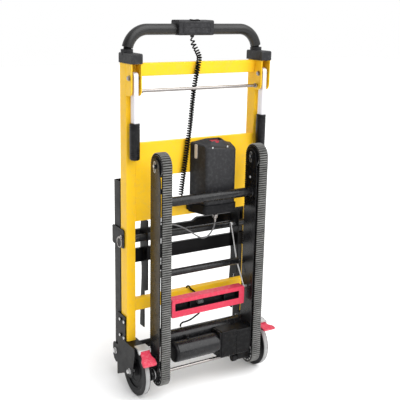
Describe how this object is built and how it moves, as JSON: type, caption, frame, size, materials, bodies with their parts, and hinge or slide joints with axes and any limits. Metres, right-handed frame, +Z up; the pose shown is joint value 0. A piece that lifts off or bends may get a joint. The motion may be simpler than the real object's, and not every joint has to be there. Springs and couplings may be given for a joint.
{
  "type": "stair climbing trolley",
  "caption": "Upright electric stair climbing trolley: yellow back frame with a foam handle, wheels with foot brakes, rubber crawler tracks, a battery and a fold-down load platform.",
  "frame": {"origin": "on the floor, under the middle of the trolley's box as it stands folded", "axes": "+Z up; +X across the trolley, towards the battery side; +Y towards the load side, so the operator stands on the -Y side"},
  "size_m": [0.564, 0.25, 1.282],
  "materials": {
    "yellow_paint": "gloss yellow powder coat",
    "black_paint": "gloss black powder coat",
    "foam": "matt charcoal foam",
    "black_plastic": "fine-grained charcoal moulding",
    "grip_rubber": "matt ribbed rubber",
    "belt_rubber": "dusty dark grey rubber",
    "tyre_rubber": "light grey non-marking rubber",
    "aluminium": "satin extruded aluminium",
    "chrome": "bright plated steel",
    "zinc": "dull zinc-plated steel",
    "red_paint": "satin red powder coat",
    "red_plastic": "moulded red plastic",
    "cable_black": "black polyurethane sheath",
    "cable_grey": "grey PVC sheath"
  },
  "bodies": {
    "frame": {"rail_left": "yellow_paint", "rail_right": "yellow_paint", "top_crossbar": "yellow_paint", "lower_crossbar": "yellow_paint", "back_panel": "yellow_paint", "tie_tube": "black_paint", "guide_frame": "black_paint", "handle_tube": "black_paint", "foam_grip_left": "foam", "foam_grip_right": "foam", "handle_cap_left": "black_plastic", "handle_cap_right": "black_plastic", "control_box": "black_plastic", "arm_bracket_left": "yellow_paint", "arm_bracket_right": "yellow_paint", "arm_bolt_left": "zinc", "arm_bolt_right": "zinc", "cross_rod": "chrome", "battery_holder": "black_plastic", "fork_left": "black_paint", "fork_right": "black_paint", "axle_left": "zinc", "axle_right": "zinc", "brake_plate_left": "zinc", "brake_plate_right": "zinc", "platform_bolt_left": "zinc", "platform_bolt_right": "zinc", "curly_cord": "cable_black", "battery_cable": "cable_grey", "motor_cable": "cable_black"},
    "arm_left": {"swing_arm_left": "aluminium", "arm_grip_left": "grip_rubber"},
    "wheel_left": {"tyre_left": "tyre_rubber", "wheel_hub_left": "black_plastic"},
    "brake_left": {"brake_pedal_left": "red_paint"},
    "arm_right": {"swing_arm_right": "aluminium", "arm_grip_right": "grip_rubber"},
    "wheel_right": {"tyre_right": "tyre_rubber", "wheel_hub_right": "black_plastic"},
    "brake_right": {"brake_pedal_right": "red_paint"},
    "crawler": {"track_frame_left": "black_paint", "track_frame_right": "black_paint", "track_belt_left": "belt_rubber", "track_belt_right": "belt_rubber", "upper_cross_tube": "black_paint", "lower_cross_tube": "black_paint", "gearmotor": "black_paint", "gearbox": "black_paint"},
    "drive": {"drive_shaft": "chrome", "drive_sprocket_left": "black_plastic", "drive_sprocket_right": "black_plastic"},
    "idler_wheel_left": {"idler_left": "black_plastic"},
    "idler_wheel_right": {"idler_right": "black_plastic"},
    "release": {"release_pedal": "red_paint", "latch_linkage": "black_paint"},
    "platform": {"platform_frame": "black_paint"},
    "pin": {"lock_pin": "chrome"},
    "battery": {"battery_case": "black_plastic"},
    "button": {"battery_button": "red_plastic"},
    "rocker": {"rocker_switch": "red_plastic"}
  },
  "joints": [
    {"name": "arm_left_swing", "type": "hinge", "parent": "frame", "child": "arm_left", "pos_m": [0, -0.007, 1.101], "axis": [1, 0, 0], "range_deg": [-95, 0]},
    {"name": "arm_right_swing", "type": "hinge", "parent": "frame", "child": "arm_right", "pos_m": [0, -0.007, 1.101], "axis": [1, 0, 0], "range_deg": [-95, 0]},
    {"name": "wheel_left_spin", "type": "hinge", "parent": "frame", "child": "wheel_left", "pos_m": [0, -0.012, 0.09], "axis": [1, 0, 0], "continuous": true},
    {"name": "wheel_right_spin", "type": "hinge", "parent": "frame", "child": "wheel_right", "pos_m": [0, -0.012, 0.09], "axis": [1, 0, 0], "continuous": true},
    {"name": "brake_left_press", "type": "hinge", "parent": "frame", "child": "brake_left", "pos_m": [0, -0.069, 0.181], "axis": [1, 0, 0], "range_deg": [-38, 0]},
    {"name": "brake_right_press", "type": "hinge", "parent": "frame", "child": "brake_right", "pos_m": [0, -0.069, 0.181], "axis": [1, 0, 0], "range_deg": [0, 38]},
    {"name": "crawler_tilt", "type": "hinge", "parent": "frame", "child": "crawler", "pos_m": [0, -0.077, 0.094], "axis": [1, 0, 0], "range_deg": [0, 25]},
    {"name": "drive_spin", "type": "hinge", "parent": "crawler", "child": "drive", "pos_m": [0, -0.077, 0.094], "axis": [1, 0, 0], "continuous": true},
    {"name": "idler_left_spin", "type": "hinge", "parent": "crawler", "child": "idler_wheel_left", "pos_m": [0, -0.077, 0.825], "axis": [1, 0, 0], "continuous": true},
    {"name": "idler_right_spin", "type": "hinge", "parent": "crawler", "child": "idler_wheel_right", "pos_m": [0, -0.077, 0.825], "axis": [1, 0, 0], "continuous": true},
    {"name": "release_press", "type": "hinge", "parent": "crawler", "child": "release", "pos_m": [0, -0.075, 0.35], "axis": [1, 0, 0], "range_deg": [0, 12], "stiffness_Nm_per_rad": 3, "springref_deg": -20.05},
    {"name": "platform_fold", "type": "hinge", "parent": "frame", "child": "platform", "pos_m": [0, 0.103, 0.12], "axis": [1, 0, 0], "range_deg": [-90, 0]},
    {"name": "pin_pull", "type": "slide", "parent": "platform", "child": "pin", "axis": [-1, 0, 0], "range_m": [0, 0.008], "stiffness_N_per_m": 400, "springref_m": -0.01},
    {"name": "battery_lift", "type": "slide", "parent": "frame", "child": "battery", "axis": [0, 0, 1], "range_m": [0, 0.03]},
    {"name": "battery_button_press", "type": "slide", "parent": "battery", "child": "button", "axis": [0, 0, -1], "range_m": [0, 0.003], "stiffness_N_per_m": 300, "springref_m": -0.002},
    {"name": "rocker_tilt", "type": "hinge", "parent": "frame", "child": "rocker", "pos_m": [-0.014, 0.025, 1.279], "axis": [0, 1, 0], "range_deg": [-7, 7], "stiffness_Nm_per_rad": 0.3}
  ],
  "couplings": [
    {"joint": "idler_left_spin", "follows": "drive_spin", "ratio": 1},
    {"joint": "idler_right_spin", "follows": "drive_spin", "ratio": 1}
  ]
}
